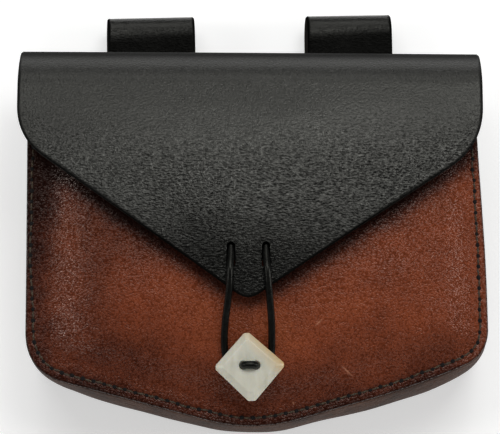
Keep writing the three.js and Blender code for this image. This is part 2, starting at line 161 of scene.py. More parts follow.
def add(tree, kind, inputs=(), operation=None, stops=(), **settings):
    """Adds a node with its settings, its inputs and the stops of its ramp, each a position
    with a hex colour or a grey."""
    node = tree.nodes.new(next(
        family + kind for family in ("ShaderNode", "GeometryNode", "FunctionNode", "Node")
        if hasattr(bpy.types, family + kind)))
    if operation:
        node.operation = operation
    for name, value in settings.items():
        setattr(node, name, value)
    feed(node, inputs)
    for i, (position, tone) in enumerate(stops):
        elements = node.color_ramp.elements
        element = elements[i] if i < len(elements) else elements.new(position)
        element.position = position
        element.color = linear(tone) if isinstance(tone, str) else (tone, tone, tone, 1)
    return node


def weighed(tree, total, *parts):
    """A total with fields added to it, each times its weight."""
    for field, weight in parts:
        total = add(tree, "Math", (field, weight, total), "MULTIPLY_ADD")
    return total


def start_finish(name, **surface):
    """A new finish: its material, tree, shader and Object coordinates."""
    material = bpy.data.materials.new(name)
    material.use_nodes = True
    tree = material.node_tree
    tree.nodes.clear()
    shader = add(tree, "BsdfPrincipled",
                 {key.replace("_", " "): value for key, value in surface.items()})
    add(tree, "OutputMaterial", {"Surface": shader})
    return material, tree, shader, add(tree, "TexCoord").outputs["Object"]


def dress(piece, material):
    """Gives a piece one material and no other."""
    piece.data.materials.clear()
    piece.data.materials.append(material)


# Waxed leather cord: nearly black, drawn smooth, so it gives a soft grey line of shine.
# A noise of scale s has blots about 1000 / s mm across, here and in the other finishes:
# the rubbed patches are 1.4 mm long, and the fibres 0.4 mm.
waxed_cord, tree, shader, place = start_finish(
    "waxed_leather_cord", IOR=1.5, Specular_IOR_Level=0.2, Specular_Tint=(1.0, 1.0, 0.9, 1.0))
rub = add(tree, "TexNoise", {"Vector": place, "Scale": 700, "Detail": 4})
fibres = add(tree, "TexNoise", {"Vector": place, "Scale": 2600, "Detail": 2})
dye = add(tree, "ValToRGB", {"Fac": rub}, stops=[(0.35, "#030303"), (0.75, "#090908")])
dull = weighed(tree, 0.2, (rub, 0.2))
bump = add(tree, "Bump", {"Strength": 0.35, "Distance": 0.1 * MM, "Height": fibres})
feed(shader, {"Base Color": dye, "Roughness": dull, "Normal": bump})

closing_line = laid(smooth_line(closing_route))
closing_cord = round_cord("closing_cord_round", closing_line, cord_diameter * MM)
dress(closing_cord, waxed_cord)
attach(closing_cord, "root")
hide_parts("closing_cord")
for name in ("closing_knot_left", "closing_knot_right"):
    dress(frame["nodes"][name], waxed_cord)

# ----------------
# Front panel: vegetable-tanned cowhide, 2 mm thick, wet-moulded over a block so that
# its middle stands up from a flat sewn border, then dyed and antiqued by hand.
front_leather = 2.0
flap_leather = 2.2
seam_gap = 0.3
gusset_depth = 36
mouth_y = -16
half_width = 85
moulded_step = 4.5
step_width = 13
step_tail, tail_share = 32, 0.4
step_at_mouth, step_whole_by = 0.35, 40
border_left, border_right, border_narrows_over = 7.5, 4, 60
crown_height, crown_whole_by = 5, 60
seam_inset = 3.0
stitch_pitch = 4.0
cut_wear = 0.75
gusset_back_z = flap_leather + seam_gap
gusset_front_z = gusset_back_z + gusset_depth
border_z = gusset_front_z + seam_gap + front_leather
body_corners = [
    (-82.4, mouth_y, 0), (-82.4, -121.9, 15), (0.8, -143.8, 17), (60, -127.3, 20),
    (87.5, -115.6, 10), (86.9, -84, 14), (82.9, mouth_y, 0),
]


def taken_at(line, distances):
    """Points of a line at distances along it."""
    along = distances_along(line)
    return np.stack([np.interp(distances, along, places) for places in line.T], axis=1)


def rounded_line(corners, steps):
    """An open line through (x, y, round) corners, each rounded by a curve, evenly spaced."""
    places = [np.array(corner[:2], float) for corner in corners]
    dense = [places[0]]
    for i in range(1, len(places) - 1):
        here, cut = places[i], corners[i][2]
        start, end = (here + cut * (other - here) / np.linalg.norm(other - here)
                      for other in (places[i - 1], places[i + 1]))
        for s in np.linspace(0, 1, 60):
            dense.append((1 - s) ** 2 * start + 2 * s * (1 - s) * here + s * s * end)
    dense = np.array(dense + [places[-1]])
    return taken_at(dense, np.linspace(0, distances_along(dense)[-1], steps + 1))


def spaced(line, pitch, start=0.0):
    """Points every pitch along a line of points."""
    return taken_at(line, np.arange(start, distances_along(line)[-1], pitch))


def unit(vectors):
    """Vectors brought to length 1."""
    return vectors / np.linalg.norm(vectors, axis=-1, keepdims=True)


def left_of(line):
    """The direction to the left of a flat line of points, at each of them."""
    return unit(np.gradient(line, axis=0))[:, ::-1] * [-1, 1]


def smoothstep(value, low, high):
    """A smooth rise from 0 at low to 1 at high."""
    s = np.clip((value - low) / (high - low), 0, 1)
    return s * s * (3 - 2 * s)


def bell(distance, reach):
    """A smooth fall from 1 at no distance to a third at reach and nothing at twice it."""
    return np.exp(-(distance / reach) ** 2)


def distance_to(xy, line):
    """How far each point lies from a line of points, all in the pouch's x and y."""
    flat = xy.reshape(-1, 2)
    best = np.full(len(flat), np.inf)
    for a, b in zip(line[:-1], line[1:]):
        along = b - a
        share = np.clip(((flat - a) @ along) / max(along @ along, 1e-12), 0, 1)
        best = np.minimum(best, np.linalg.norm(flat - a - share[:, None] * along, axis=1))
    return best.reshape(xy.shape[:-1])


def unevenness(xy, *swells):
    """The smooth swells of worked leather, each by its height, size across and seed."""
    return sum(
        height * np.array([noise.noise(Vector((x, y, seed))) for x, y in xy.reshape(-1, 2) / size])
        for height, size, seed in swells).reshape(xy.shape[:-1])


def ladder(edge, shares):
    """Rungs across an open edge line, each between two points equally far from its ends."""
    half = (len(edge) - 1) // 2
    left, right = edge[:half + 1, None, :], edge[::-1][:half + 1, None, :]
    return left * (1 - shares[None, :, None]) + right * shares[None, :, None]


def crowded(count):
    """Shares from 0 to 1 that lie closer together towards both ends."""
    even = np.arange(count + 1) / count
    return 0.4 * even + 0.6 * (1 - np.cos(np.pi * even)) / 2


def worn_edge(edge_distance, radius):
    """How far a worn edge falls away, by the distance from the cut."""
    near = np.maximum(0, radius - edge_distance)
    return radius - np.sqrt(np.maximum(0, radius ** 2 - near ** 2))


def raised(xy, z):
    """Points above x and y, at z."""
    return np.concatenate([xy, np.broadcast_to(z, xy.shape[:-1])[..., None]], axis=-1)


def facing(height, xy, step=0.15):
    """The way that a surface z = height(xy) faces."""
    slope_x, slope_y = ((height(xy + move) - height(xy - move)) / (2 * step)
                        for move in (np.array([step, 0]), np.array([0, step])))
    return unit(np.stack([-slope_x, -slope_y, np.ones_like(slope_x)], axis=-1))


def through_leather(xy, height, detail, thickness, edge_distance, radius):
    """The outer and inner faces of leather lying on z = height(xy), raised by a detail
    that shows a third as much inside."""
    normal = facing(height, xy)
    middle = raised(xy, height(xy))
    worn = worn_edge(edge_distance, radius)
    return (middle + normal * (detail - worn)[..., None],
            middle - normal * (thickness - worn - 0.3 * detail)[..., None])


def laid_mesh(name, points, faces):
    """A mesh object from points in the pouch's millimetres."""
    mesh = bpy.data.meshes.new(name)
    mesh.from_pydata(laid(points).tolist(), [], faces)
    return placed(name, mesh)


def leather_shell(name, outer, inner, **fields):
    """A closed shell of leather between two grids in the pouch's millimetres. fields, one
    value for each point of a grid, and flesh, 1 on the inner face, stay on the mesh."""
    rows, columns = outer.shape[:2]
    index = np.arange(rows * columns).reshape(rows, columns)
    under = index + rows * columns
    quads = [(index[:-1, :-1], index[1:, :-1], index[1:, 1:], index[:-1, 1:]),
             (under[:-1, 1:], under[1:, 1:], under[1:, :-1], under[:-1, :-1])]
    for edge, turn in ((index[0], 1), (index[-1], -1), (index[:, 0], -1), (index[:, -1], 1)):
        a, b = (edge[:-1], edge[1:])[::turn]
        quads.append((a, b, b + rows * columns, a + rows * columns))
    faces = np.concatenate([np.stack([c.ravel() for c in corners], axis=1) for corners in quads])
    points = np.concatenate([outer.reshape(-1, 3), inner.reshape(-1, 3)])
    made = laid_mesh(name, points, faces.tolist())
    mesh = made.data
    fields = {field: np.concatenate([values.ravel()] * 2) for field, values in fields.items()}
    fields["flesh"] = np.repeat([0.0, 1.0], rows * columns)
    for field, values in fields.items():
        layer = mesh.attributes.new(field, "FLOAT", "POINT")
        layer.data.foreach_set("value", values.astype(np.float32))
    joined = bmesh.new()
    joined.from_mesh(mesh)
    bmesh.ops.remove_doubles(joined, verts=joined.verts, dist=2e-6)
    bmesh.ops.dissolve_degenerate(joined, edges=joined.edges, dist=1e-7)
    joined.to_mesh(mesh)
    joined.free()
    mesh.shade_smooth()
    mesh.set_sharp_from_angle(angle=math.radians(60))
    return made


body_edge = rounded_line(body_corners, 240)
bottom_y = body_edge[:, 1].min()


def front_height(xy):
    """z of the front's outer face: flat border, moulded step and a low crown."""
    x, y = xy[..., 0], xy[..., 1]
    narrowed = smoothstep(x, -border_narrows_over, border_narrows_over)
    border = border_left + (border_right - border_left) * narrowed
    distance = distance_to(xy, body_edge) - border
    step = ((1 - tail_share) * smoothstep(distance, 0, step_width)
            + tail_share * smoothstep(distance, 0, step_tail))
    below_mouth = mouth_y - y
    step *= step_at_mouth + (1 - step_at_mouth) * smoothstep(below_mouth, 0, step_whole_by)
    crown_up = (smoothstep(below_mouth, 0, crown_whole_by)
                * smoothstep(y - bottom_y, 0, crown_whole_by))
    crown = crown_height * np.maximum(0, 1 - (x / half_width) ** 2) * crown_up
    return border_z + moulded_step * step + crown


def level_at(height, x, y):
    """z of a surface at one place."""
    return float(height(np.array([[x, y]]))[0])


# The seam wanders, pricked by hand: how far it lies from its inset, by the share of the
# way round from the top left to the top right.
seam_wander = [(0, -0.8), (0.06, -0.8), (0.11, -1.0), (0.15, -1.3), (0.18, -1.3), (0.21, -0.5),
               (0.24, 0.1), (0.5, 0.1), (0.72, 0.1), (0.82, -0.2), (0.91, -0.6), (1, -0.7)]
share = np.linspace(0, 1, len(body_edge))
seam_insets = seam_inset + np.interp(share, *zip(*seam_wander))
seam_line = body_edge + left_of(body_edge) * seam_insets[:, None]
seam_holes = spaced(seam_line, stitch_pitch, start=3)
seam_holes += np.random.default_rng(4).normal(0, 0.09, seam_holes.shape)

# Patches where the front's colour is made lighter and warmer, or darker: x, y, how far
# each reaches across and down, and how much. The narrow light strip at x -68 is a painted
# highlight on the left shoulder, and the dark strip at x -82 down the left border is
# partly darker dye and partly painted shade from the flap.
front_patches = [
    (45, -95, 42, 30, 0.3), (-28, -90, 30, 22, 0.3), (0, -105, 32, 16, 0.42),
    (-52, -76, 16, 26, -0.1), (78, -66, 12, 44, 0.3), (-82, -50, 13, 50, -0.8),
    (-68, -72, 6, 36, 0.3), (-66, -130, 24, 12, -0.2), (60, -121, 24, 13, -0.15),
    (-38, -115, 14, 9, -0.22),
]
flap_corners = [(-85.9, mouth_y, 0), (-85.9, -35.9, 12.5), (-0.8, -97.2, 5),
                (85.9, -38.9, 15), (85.9, mouth_y, 0)]

front_xy = ladder(rounded_line(body_corners, 500), crowded(120))
front_x, front_y = front_xy[..., 0], front_xy[..., 1]
front_edge = distance_to(front_xy, np.vstack([body_edge, body_edge[:1]]))
from_seam = distance_to(front_xy, seam_line)
from_hole = np.min([np.linalg.norm(front_xy - hole, axis=-1) for hole in seam_holes], axis=0)

# What is worked into the front: a creased line round the cut edge, the thread's channel,
# a dent at each hole, and low swells inside the seam.
crease_depth, crease_inset, crease_width = 0.06, 1.3, 0.22
channel_depth, dent_depth, pressed_width = 0.15, 0.3, 0.8
inside_seam = smoothstep(from_seam, 1, 12) * (front_edge > seam_inset)
front_detail = (
    -crease_depth * bell(front_edge - crease_inset, crease_width)
    - channel_depth * bell(from_seam, pressed_width)
    - dent_depth * bell(from_hole, pressed_width)
    + inside_seam * unevenness(front_xy, (0.26, 26, 1.0), (0.12, 9, 5.0))
)

# Darker along the flap's edge: painted shade where the flap shades the front, with some
# black dye come off the flap. The front is also darker along its lower border. The
# moulded shoulder is creased, most on the left.
tone = sum(amount * bell(front_x - x, reach_x) * bell(front_y - y, reach_y)
           for x, y, reach_x, reach_y, amount in front_patches)
# Painted shade along the flap's edge, with some of the flap's black dye.
tone -= 0.75 * bell(distance_to(front_xy, rounded_line(flap_corners, 160)), 4.6)
tone -= 0.45 * bell(front_edge, 4.0) * smoothstep(-front_y, 112, 126)
creased = ((smoothstep(-front_x, 45, 66) + 0.1 * smoothstep(front_x, 45, 66))
           * smoothstep(front_edge, 8, 13) * (1 - smoothstep(front_edge, 17, 30)))
outer, inner = through_leather(
    front_xy, front_height, front_detail, front_leather, front_edge, cut_wear)
front = leather_shell("front_panel_leather", outer, inner, tone=tone, edge_mm=front_edge,
                      creased=creased)


def leather_grain(tree, place, pebble_mm, stretch):
    """Natural grain, from 0 in its creases to 1 on its pebbles: each is a low dome about
    pebble_mm across, longer where stretch is small, and the creases wander."""
    drift = add(tree, "TexNoise", {"Vector": place, "Scale": 0.4 / (pebble_mm * MM), "Detail": 3})
    centred = add(tree, "VectorMath", (drift.outputs["Color"], (0.5, 0.5, 0.5)), "SUBTRACT")
    moved = add(tree, "VectorMath", (centred, (2.2 * pebble_mm * MM,) * 3, place), "MULTIPLY_ADD")
    drawn = add(tree, "Mapping", {"Vector": moved, "Scale": stretch})
    pebbles = add(tree, "TexVoronoi", {"Vector": drawn, "Scale": 1 / (pebble_mm * MM)})
    squared = add(tree, "Math", (pebbles, pebbles), "MULTIPLY")
    return add(tree, "Math", (squared, -1.8, 1.0), "MULTIPLY_ADD", use_clamp=True)


# Antiqued vegetable-tanned cowhide, dyed by hand and waxed: red-brown where it is
# rubbed, nearly black-brown and less shiny where the dye is thick, with a satin shine
# that the grain breaks into specks. Its flesh side is pale and rough. Its pebbles, about
# 0.3 mm across, are too fine to show, so they are drawn at 0.7 mm.
antiqued_cowhide, tree, shader, place = start_finish(
    "antiqued_cowhide", IOR=1.5, Specular_Tint=(1.0, 0.82, 0.74, 1.0))
cloud = add(tree, "TexNoise", {"Vector": place, "Scale": 60, "Detail": 5, "Roughness": 0.6})
specks = add(tree, "TexNoise", {"Vector": place, "Scale": 2300, "Detail": 1, "Roughness": 0.5})
fields = {name: add(tree, "Attribute", attribute_name=name).outputs["Fac"]
          for name in ("tone", "edge_mm", "creased", "flesh")}
grain = leather_grain(tree, place, 0.68, (0.8, 1.1, 1.0))
creases = leather_grain(tree, place, 1.1, (0.45, 1.1, 1.0))
# With the noise, the tone field sets how light or dark the brown is. It also carries painted shade
# along the flap's edge and a painted highlight on the left shoulder.
tone_and_painted_light = weighed(tree, -0.07, (cloud, 0.5), (fields["tone"], 0.55), (specks, 0.5))
dye = add(tree, "ValToRGB", {"Fac": tone_and_painted_light}, stops=[
    (0.08, "#200e0a"), (0.3, "#441f14"), (0.48, "#65311e"), (0.66, "#7e3d24"), (0.9, "#985030")])
pooled = add(tree, "ValToRGB", {"Fac": grain}, stops=[(0, 0.35), (0.6, 1.0)])
dye = add(tree, "Mix", {0: 0.5, 6: dye, 7: pooled}, data_type="RGBA", blend_type="MULTIPLY")

# A few light scratches that go through the dye: x, y, turn in degrees, length.
scratches = [(25.0, -104.3, 42, 4.6), (35.4, -121.7, -41, 6.8), (15.8, -133.2, -60, 1.3)]
scratch_width, scratch_reach = 0.84, 3
scratched = 0.0
for x, y, turn, scratch_length in scratches:
    middle = laid([(x, y, level_at(front_height, x, y))])[0]
    drawn = add(tree, "Mapping", {
        "Vector": place, "Location": tuple(middle), "Rotation": (0, 0, math.radians(turn)),
        "Scale": (scratch_length / 2 * MM, scratch_width / 2 * MM, scratch_reach * MM)},
        vector_type="TEXTURE")
    streak = add(tree, "TexGradient", {"Vector": drawn}, gradient_type="SPHERICAL")
    scratched = weighed(tree, scratched, (streak, 0.45))
burnished = add(tree, "ValToRGB", {"Fac": fields["edge_mm"]}, stops=[(0, 1.0), (0.9, 0.0)])
for share, colour in (
        (scratched, "#cf9474"), (burnished, "#1a0d09"), (fields["flesh"], "#6f4c35")):
    dye = add(tree, "Mix", {0: share, 6: dye, 7: linear(colour)}, data_type="RGBA")

dull = weighed(tree, 0.12, (specks, 0.2), (fields["creased"], -0.06), (fields["flesh"], 0.4))
wax = add(tree, "MapRange", (fields["tone"], -0.8, 0.1, 0.1, 0.24))
wax = weighed(tree, wax, (fields["creased"], 0.24))
sparkle = add(tree, "MapRange", (grain, 0.2, 1.0, 0.1, 2.3))
wax = add(tree, "Math", (wax, sparkle), "MULTIPLY")
depth = add(tree, "Math", (fields["creased"], 0.2), "ADD")
deep = add(tree, "Math", (creases, depth), "MULTIPLY")
height = weighed(tree, 0.0, (specks, 0.06), (grain, 0.1), (deep, 0.15))
bump = add(tree, "Bump", {"Strength": 1.0, "Distance": MM, "Height": height})
feed(shader, {"Base Color": dye, "Roughness": dull, "Specular IOR Level": wax, "Normal": bump})

dress(front, antiqued_cowhide)
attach(front, "root")
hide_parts("front_panel")

# ----------------
# Gusset: a strip of thinner dark leather, its two edges turned in and sewn under the
# front and the back. It bellies out a little between the seams.
gusset_leather = 1.6
flange_width = 8
turn_radius = 1.7
# How far it bellies past the seams, at shares of the way round the body.
gusset_bulges = [(0, 0.4), (0.22, 0.6), (0.3, 0.5), (0.35, 2.4), (0.42, 2.2), (0.5, 1.2),
                 (0.62, 2.8), (0.69, 3.4), (0.74, 0.8), (0.8, 0.5), (1, 0.4)]
wobble_depth, wobbles_round, wobble_height = 0.4, 22, 15

gusset_edge = rounded_line(body_corners, 420)
outwards = -left_of(gusset_edge)
round_share = np.linspace(0, 1, len(gusset_edge))
bulge = np.interp(round_share, *zip(*gusset_bulges))
smoothed_over = 17
bulge = np.convolve(np.pad(bulge, smoothed_over // 2, mode="edge"),
                    np.ones(smoothed_over) / smoothed_over, mode="valid")

# The section, from the inner edge of the back flange round to that of the front one:
# how far inside the panel's edge, and z.
back_half = [(inset, gusset_back_z) for inset in np.linspace(flange_width, turn_radius, 6)[:-1]]
back_half += [(turn_radius * (1 - math.sin(a)), gusset_back_z + turn_radius * (1 - math.cos(a)))
              for a in np.linspace(0, math.pi / 2, 7)]
front_half = [(inset, gusset_back_z + gusset_front_z - z) for inset, z in reversed(back_half)]
wall = [(0, z) for z in np.linspace(back_half[-1][1], front_half[0][1], 14)[1:-1]]
section = np.array(back_half + wall + front_half)
inner_section = section - gusset_leather * left_of(section)
inner_section[:, 0] = np.minimum(inner_section[:, 0], flange_width)
wobble = np.array([[noise.noise(Vector((s * wobbles_round, z / wobble_height, 3)))
                    for z in section[:, 1]] for s in round_share])


def carried_round(profile):
    """A section carried round the body's edge, bellied between the seams."""
    depth_share = np.clip((section[:, 1] - gusset_back_z) / gusset_depth, 0, 1)
    belly = np.sin(np.pi * depth_share) * np.exp(-np.maximum(0, section[:, 0] - 2) / 2)
    out = (bulge[:, None] + wobble_depth * wobble) * belly[None, :] - profile[None, :, 0]
    return raised(gusset_edge[:, None, :] + outwards[:, None, :] * out[..., None], profile[:, 1])


gusset = leather_shell("gusset_leather", carried_round(section), carried_round(inner_section))

# Drum-dyed chrome-tanned leather: dull dark brown with a fine grain, drawn into long low
# creases by the bend and scuffed paler in places by handling.
drum_dyed_leather, tree, shader, place = start_finish(
    "drum_dyed_leather", IOR=1.4, Roughness=0.6, Specular_IOR_Level=0.15)
cloud = add(tree, "TexNoise", {"Vector": place, "Scale": 90, "Detail": 5, "Roughness": 0.65})
dye = add(tree, "ValToRGB", {"Fac": cloud}, stops=[
    (0.3, "#2a1910"), (0.55, "#442b1e"), (0.75, "#563a2a")])
grain = leather_grain(tree, place, 0.9, (0.6, 1.0, 1.0))
stretched = add(tree, "Mapping", {"Vector": place, "Scale": (0.3, 0.8, 1.0)})
drawn = add(tree, "TexNoise", {"Vector": stretched, "Scale": 420, "Detail": 3, "Roughness": 0.6})
pooled = add(tree, "ValToRGB", {"Fac": grain}, stops=[(0, 0.3), (0.6, 1.0)])
dye = add(tree, "Mix", {0: 0.5, 6: dye, 7: pooled}, data_type="RGBA", blend_type="MULTIPLY")
height = weighed(tree, grain, (drawn, 9.0))
bump = add(tree, "Bump", {"Strength": 1.0, "Distance": 0.07 * MM, "Height": height})
feed(shader, {"Base Color": dye, "Normal": bump})
dress(gusset, drum_dyed_leather)
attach(gusset, "root")
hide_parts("gusset")

# ----------------
# Back and flap: one piece of thick black cowhide. It is the back panel, turns over the
# mouth in a soft fold, and hangs down the front to a point with two punched slots. Its
# cut edge is left square and dyed.
fold_rise_left, fold_rise_right = 16.1, 15.0
fold_lean = 0.27
flap_clearance = 0.8
flap_side_drop = 0.9
flap_sag = 0.5
flap_profile = [(0, 0), (8, 2.7), (16, 5.0), (26, 7.4), (36, 9.4), (46, 10.7), (54, 11.3),
                (60, 11.4), (68, 11.1), (82, 10.1)]
slot_places = [(-6.9, -80.3), (5.8, -80.3)]
slot_length, slot_width = 9.4, 3.0
cut_radius = 0.5


def through_rows(rows, value):
    """A smooth curve through (input, output) rows."""
    x, y = np.array(rows, float).T
    slope = np.gradient(y, x)
    value = np.clip(value, x[0], x[-1])
    k = np.clip(np.searchsorted(x, value) - 1, 0, len(x) - 2)
    width = x[k + 1] - x[k]
    s = (value - x[k]) / width
    return ((1 + 2 * s) * (1 - s) ** 2 * y[k] + s * (1 - s) ** 2 * width * slope[k]
            + s * s * (3 - 2 * s) * y[k + 1] + s * s * (s - 1) * width * slope[k + 1])


mouth_z = level_at(front_height, 0, mouth_y) + flap_clearance + flap_leather


def flap_height(xy):
    """z of the flap's outer face over the front."""
    x, y = xy[..., 0], xy[..., 1]
    rise = through_rows(flap_profile, mouth_y - y)
    return mouth_z + rise - (flap_side_drop + flap_sag * rise) * (x / half_width) ** 2


# The flap's unevenness, its edges curled up by wear, and the dent below each slot, where
# the cord pulls.
columns = crowded(110)
flap_edge = rounded_line(flap_corners, 330)
flap_xy = ladder(flap_edge, columns)
flap_x, flap_y = flap_xy[..., 0], flap_xy[..., 1]
flap_cut = distance_to(flap_xy, flap_edge)
drop = mouth_y - flap_y
curl_height, curl_width = 0.6, 7
dent_depth, dent_half_width, dent_half_length, dent_below = 0.35, 3.2, 4.5, 3.5
flap_detail = smoothstep(drop, 0, 15) * unevenness(flap_xy, (0.35, 30, 11.0), (0.12, 10, 17.0))
curl = smoothstep(np.abs(flap_x), 12, 35) * smoothstep(drop, 15, 35)
flap_detail += curl_height * curl * bell(flap_cut, curl_width)
for x, y in slot_places:
    flap_detail -= (dent_depth * bell(flap_x - x, dent_half_width)
                    * bell(flap_y - y + dent_below, dent_half_length))
flap_outer, flap_inner = through_leather(
    flap_xy, flap_height, flap_detail, flap_leather, flap_cut, cut_radius)

back_xy = ladder(rounded_line(body_corners, 150), columns)[::-1]
back_cut = distance_to(back_xy, body_edge)
worn = worn_edge(back_cut, cut_radius)
back_outer, back_inner = raised(back_xy, worn), raised(back_xy, flap_leather - worn)

turns = np.linspace(0, math.pi, 62)[1:-1, None]
widening = smoothstep(turns / math.pi, 0, 0.6)
left, right = (body_corners[k][0] + (flap_corners[k][0] - body_corners[k][0]) * widening
               for k in (0, -1))
arch_x = left * (1 - columns) + right * columns
rise = fold_rise_left + (fold_rise_right - fold_rise_left) * columns[None, :]
half_depth = flap_height(np.stack([arch_x, np.full_like(arch_x, mouth_y)], axis=-1)) / 2


def fold_line(turns):
    """The fold's outer face at each turn, coming down at the flap's own slope."""
    lean = fold_lean * rise * np.sin(turns) * smoothstep(-np.cos(turns), 0, 1)
    return np.stack([arch_x, mouth_y + rise * np.sin(turns),
                     half_depth * (1 - np.cos(turns)) - lean], axis=-1)


arch_outer = fold_line(turns)
arch_along = fold_line(turns + 0.01) - arch_outer
arch_normal = unit(np.cross(arch_along, [1, 0, 0]))
arch_cut = np.minimum(arch_x - left, right - arch_x)
worn = worn_edge(arch_cut, cut_radius)[..., None]
arch_inner = arch_outer - arch_normal * (flap_leather - worn)
arch_outer = arch_outer - arch_normal * worn

# The leather is pulled tight over the fold, and most wrinkled towards the tip and the
# right side. It is dry, with little wax left, on the fold, at the flap's upper corners
# and low down, and polished by hand towards the tip.
flap_wrinkled = smoothstep(drop, 2, 36) * (0.8 + 0.2 * flap_x / half_width)
arch_dry = 0.9 * smoothstep(-np.cos(turns), 0.92, 0.5) + 0 * arch_cut
upper_corners = (1 - smoothstep(drop, 12, 30)) * smoothstep(np.abs(flap_x), 20, 75)
flap_dry = 0.15 * upper_corners + 0.3 * smoothstep(drop, 36, 70)
flap_polished = smoothstep(drop, 42, 74) + 0.5 * bell(flap_x + 18, 12) * bell(drop - 52, 12)
back_and_flap = leather_shell(
    "back_and_flap_leather",
    np.concatenate([back_outer, arch_outer, flap_outer]),
    np.concatenate([back_inner, arch_inner, flap_inner]),
    edge_mm=np.concatenate([back_cut, arch_cut, flap_cut]),
    wrinkled=np.concatenate([0.25 + 0 * back_cut, 0 * arch_cut, flap_wrinkled]),
    dry=np.concatenate([0 * back_cut, arch_dry, flap_dry]),
    polished=np.concatenate([0 * back_cut, 0 * arch_cut, flap_polished]),
)


def evaluated_mesh(piece):
    """The mesh that a piece's modifiers make of it."""
    depsgraph = bpy.context.evaluated_depsgraph_get()
    return bpy.data.meshes.new_from_object(piece.evaluated_get(depsgraph))


def laid_solid(name, rings):
    """A solid through anticlockwise rings of equally many points, the lowest first."""
    count, top = len(rings[0]), len(rings) - 1
    faces = [tuple(reversed(range(count))), tuple(range(top * count, (top + 1) * count))]
    faces += [(low + i, low + (i + 1) % count, low + count + (i + 1) % count, low + count + i)
              for low in range(0, top * count, count) for i in range(count)]
    return laid_mesh(name, np.concatenate(rings), faces)


def punch(target, outline, low, high):
    """Punches a hole of an anticlockwise outline through a piece, from z low to high."""
    cutter = laid_solid("punch", [raised(outline, low), raised(outline, high)])
    modifier = target.modifiers.new("punch", "BOOLEAN")
    modifier.object = cutter
    modifier.operation = "DIFFERENCE"
    modifier.solver = "EXACT"
    made = evaluated_mesh(target)
    target.modifiers.remove(modifier)
    target.data = made
    bpy.data.objects.remove(cutter)


half_turn = np.linspace(0, math.pi, 12)
reach = (slot_length - slot_width) / 2
arc = np.stack([np.cos(half_turn), np.sin(half_turn)], axis=1) * slot_width / 2
for x, y in slot_places:
    slot = np.concatenate([arc + [x, y + reach], -arc + [x, y - reach]])
    level = level_at(flap_height, x, y)
    punch(back_and_flap, slot, level - 7, level + 5)

# Black waxed cowhide: a deep black that shows by its broad dull shine. Its grain is fine
# over the fold, and lower down it is drawn into long low wrinkles that catch the light
# one by one. Its flesh side is dark grey and rough.
black_cowhide, tree, shader, place = start_finish(
    "black_waxed_cowhide", IOR=1.45, Specular_Tint=(1.0, 1.0, 0.92, 1.0))
fields = {name: add(tree, "Attribute", attribute_name=name).outputs["Fac"]
          for name in ("edge_mm", "wrinkled", "polished", "dry", "flesh")}
cloud = add(tree, "TexNoise", {"Vector": place, "Scale": 70, "Detail": 4})
fine = add(tree, "TexNoise", {"Vector": place, "Scale": 1400, "Detail": 2, "Roughness": 0.6})
stretched = add(tree, "Mapping", {"Vector": place, "Scale": (1.0, 0.2, 0.2)})
streaks = add(tree, "TexNoise", {"Vector": stretched, "Scale": 1500, "Detail": 3})
stretched = add(tree, "Mapping", {"Vector": place, "Scale": (0.45, 1.05, 1.05)})
crumple = add(tree, "TexNoise", {
    "Vector": stretched, "Scale": 1600, "Detail": 1.5, "Roughness": 0.6})
grain = leather_grain(tree, place, 0.8, (0.8, 1.1, 1.0))
wrinkles = leather_grain(tree, place, 0.85, (0.75, 1.05, 1.0))
dye = add(tree, "ValToRGB", {"Fac": cloud}, stops=[(0.3, "#090908"), (0.7, "#0f0f0e")])
dye = add(tree, "Mix", {0: fields["flesh"], 6: dye, 7: linear("#2b2927")}, data_type="RGBA")
edge_dry = add(tree, "MapRange", (fields["edge_mm"], 0.4, 1.4, 0.9, 0.0))
dry = add(tree, "Math", (fields["dry"], edge_dry), "MAXIMUM")
dull = weighed(tree, 0.23, (streaks, 0.12), (fields["polished"], -0.18),
               (fields["flesh"], 0.45), (dry, 0.4))
wax = weighed(tree, 0.5, (dry, -0.5), (fields["polished"], -0.18))
folds = add(tree, "MapRange", (crumple, 0.35, 0.65, -0.85, 0.95))
sparkle = weighed(tree, 0.4, (fine, 1.2), (folds, fields["wrinkled"]))
wax = add(tree, "Math", (wax, sparkle), "MULTIPLY")
deep = weighed(tree, 0.0, (crumple, 0.42), (wrinkles, 0.1))
height = weighed(tree, 0.0, (fine, 0.12), (grain, 0.035), (deep, fields["wrinkled"]))
bump = add(tree, "Bump", {"Strength": 1.0, "Distance": MM, "Height": height})
feed(shader, {"Base Color": dye, "Roughness": dull, "Specular IOR Level": wax, "Normal": bump})
dress(back_and_flap, black_cowhide)
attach(back_and_flap, "root")
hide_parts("back_and_flap")

# ----------------
# Belt loops: two straps of the same black leather, each folded in two, fold up, and sewn
# to the back panel. Its rear layer lies a little to the left of the front one.
strap_leather = 2.2
roll_depth, roll_reach, roll_centre_y = 5.4, 7.9, 10.5
strap_flat_end_y, strap_sewn_y, strap_end_y = -22, -42, -54
askew = 1.1
tucked_from, tucked_by, tucked_slant = 15.5, 9.5, 0.05
loop_front_z = -seam_gap - strap_leather / 2
loop_rear_z = loop_front_z - 2 * roll_depth
sewn_rear_z = loop_front_z - strap_leather - seam_gap
loops = [
    {"name": "belt_loop_left", "x": -37.8, "width": 33.6, "turn": 1.2, "raise": -0.4},
    {"name": "belt_loop_right", "x": 38.8, "width": 32.6, "turn": 0.9, "raise": 0.5},
]

